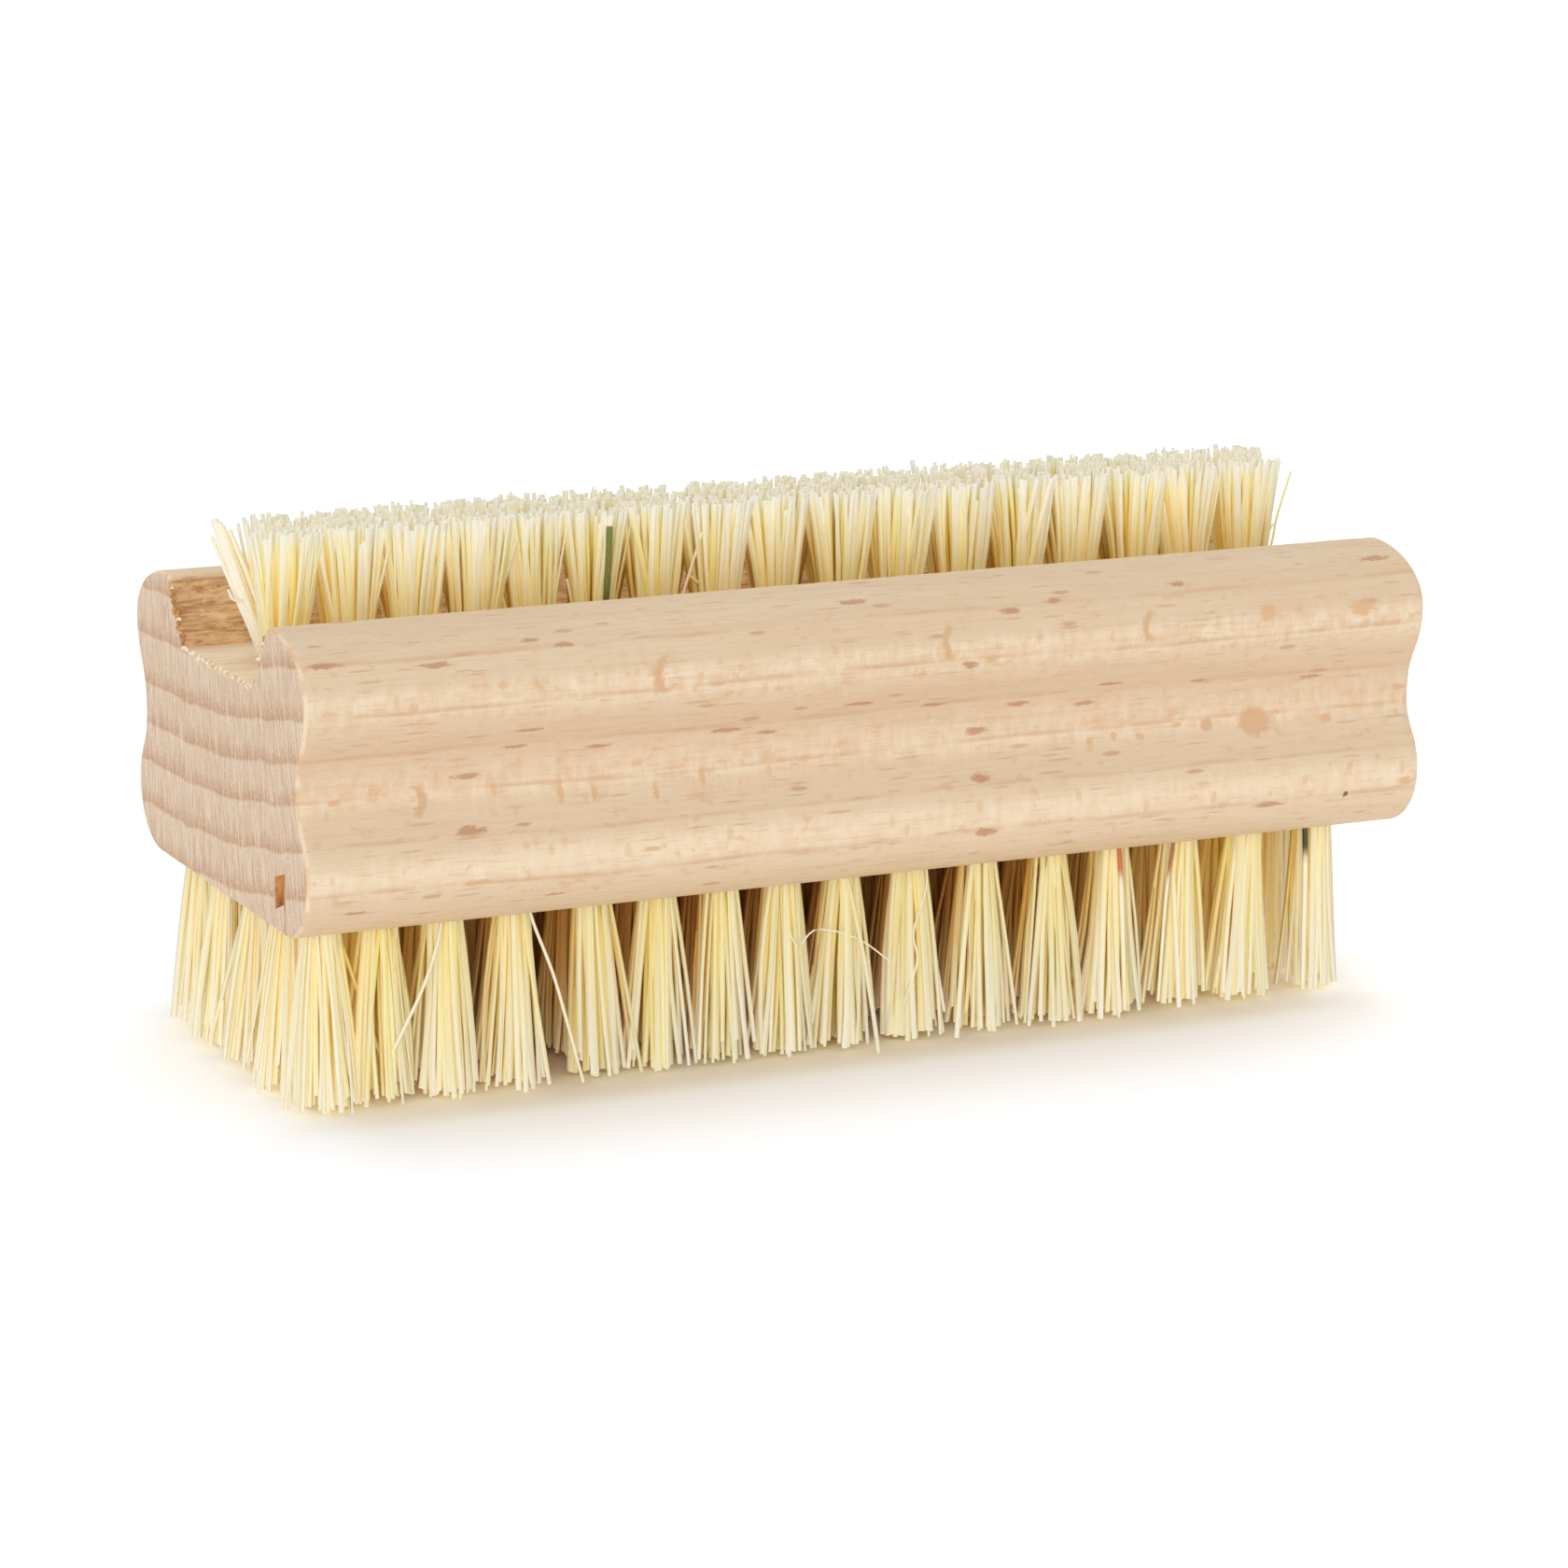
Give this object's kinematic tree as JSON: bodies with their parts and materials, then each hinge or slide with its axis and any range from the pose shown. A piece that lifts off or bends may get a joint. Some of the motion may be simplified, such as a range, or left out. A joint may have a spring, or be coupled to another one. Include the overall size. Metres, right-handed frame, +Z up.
{
  "type": "nail brush",
  "caption": "Double-sided nail brush: waisted beech block with a grooved top, short fibre tufts in the groove and longer tufts under the base.",
  "frame": {"origin": "middle of the footprint, on the plane of the lower bristle tips that the brush stands on", "axes": "+X along the brush, +Z up towards the short bristles, -Y towards the pictured long side"},
  "size_m": [0.095, 0.0388, 0.0423],
  "materials": {
    "beech": "bare sanded beech, pale pinkish beige with short brown flecks along the grain",
    "fibre": "dry cream-yellow plant fibre, paler at the cut tips",
    "anchor_wire": "bright flat wire, unseen inside the block"
  },
  "bodies": {
    "root": {"beech_block": "beech", "upper_bristles": "fibre", "lower_bristles": "fibre", "anchor_row1_1": "anchor_wire", "anchor_row1_2": "anchor_wire", "anchor_row1_3": "anchor_wire", "anchor_row1_4": "anchor_wire", "anchor_row1_5": "anchor_wire", "anchor_row1_6": "anchor_wire", "anchor_row1_7": "anchor_wire", "anchor_row1_8": "anchor_wire", "anchor_row1_9": "anchor_wire", "anchor_row1_10": "anchor_wire", "anchor_row1_11": "anchor_wire", "anchor_row1_12": "anchor_wire", "anchor_row1_13": "anchor_wire", "anchor_row1_14": "anchor_wire", "anchor_row1_15": "anchor_wire", "anchor_row1_16": "anchor_wire", "anchor_row1_17": "anchor_wire", "anchor_row2_1": "anchor_wire", "anchor_row2_2": "anchor_wire", "anchor_row2_3": "anchor_wire", "anchor_row2_4": "anchor_wire", "anchor_row2_5": "anchor_wire", "anchor_row2_6": "anchor_wire", "anchor_row2_7": "anchor_wire", "anchor_row2_8": "anchor_wire", "anchor_row2_9": "anchor_wire", "anchor_row2_10": "anchor_wire", "anchor_row2_11": "anchor_wire", "anchor_row2_12": "anchor_wire", "anchor_row2_13": "anchor_wire", "anchor_row2_14": "anchor_wire", "anchor_row2_15": "anchor_wire", "anchor_row2_16": "anchor_wire", "anchor_row2_17": "anchor_wire"}
  },
  "joints": []
}
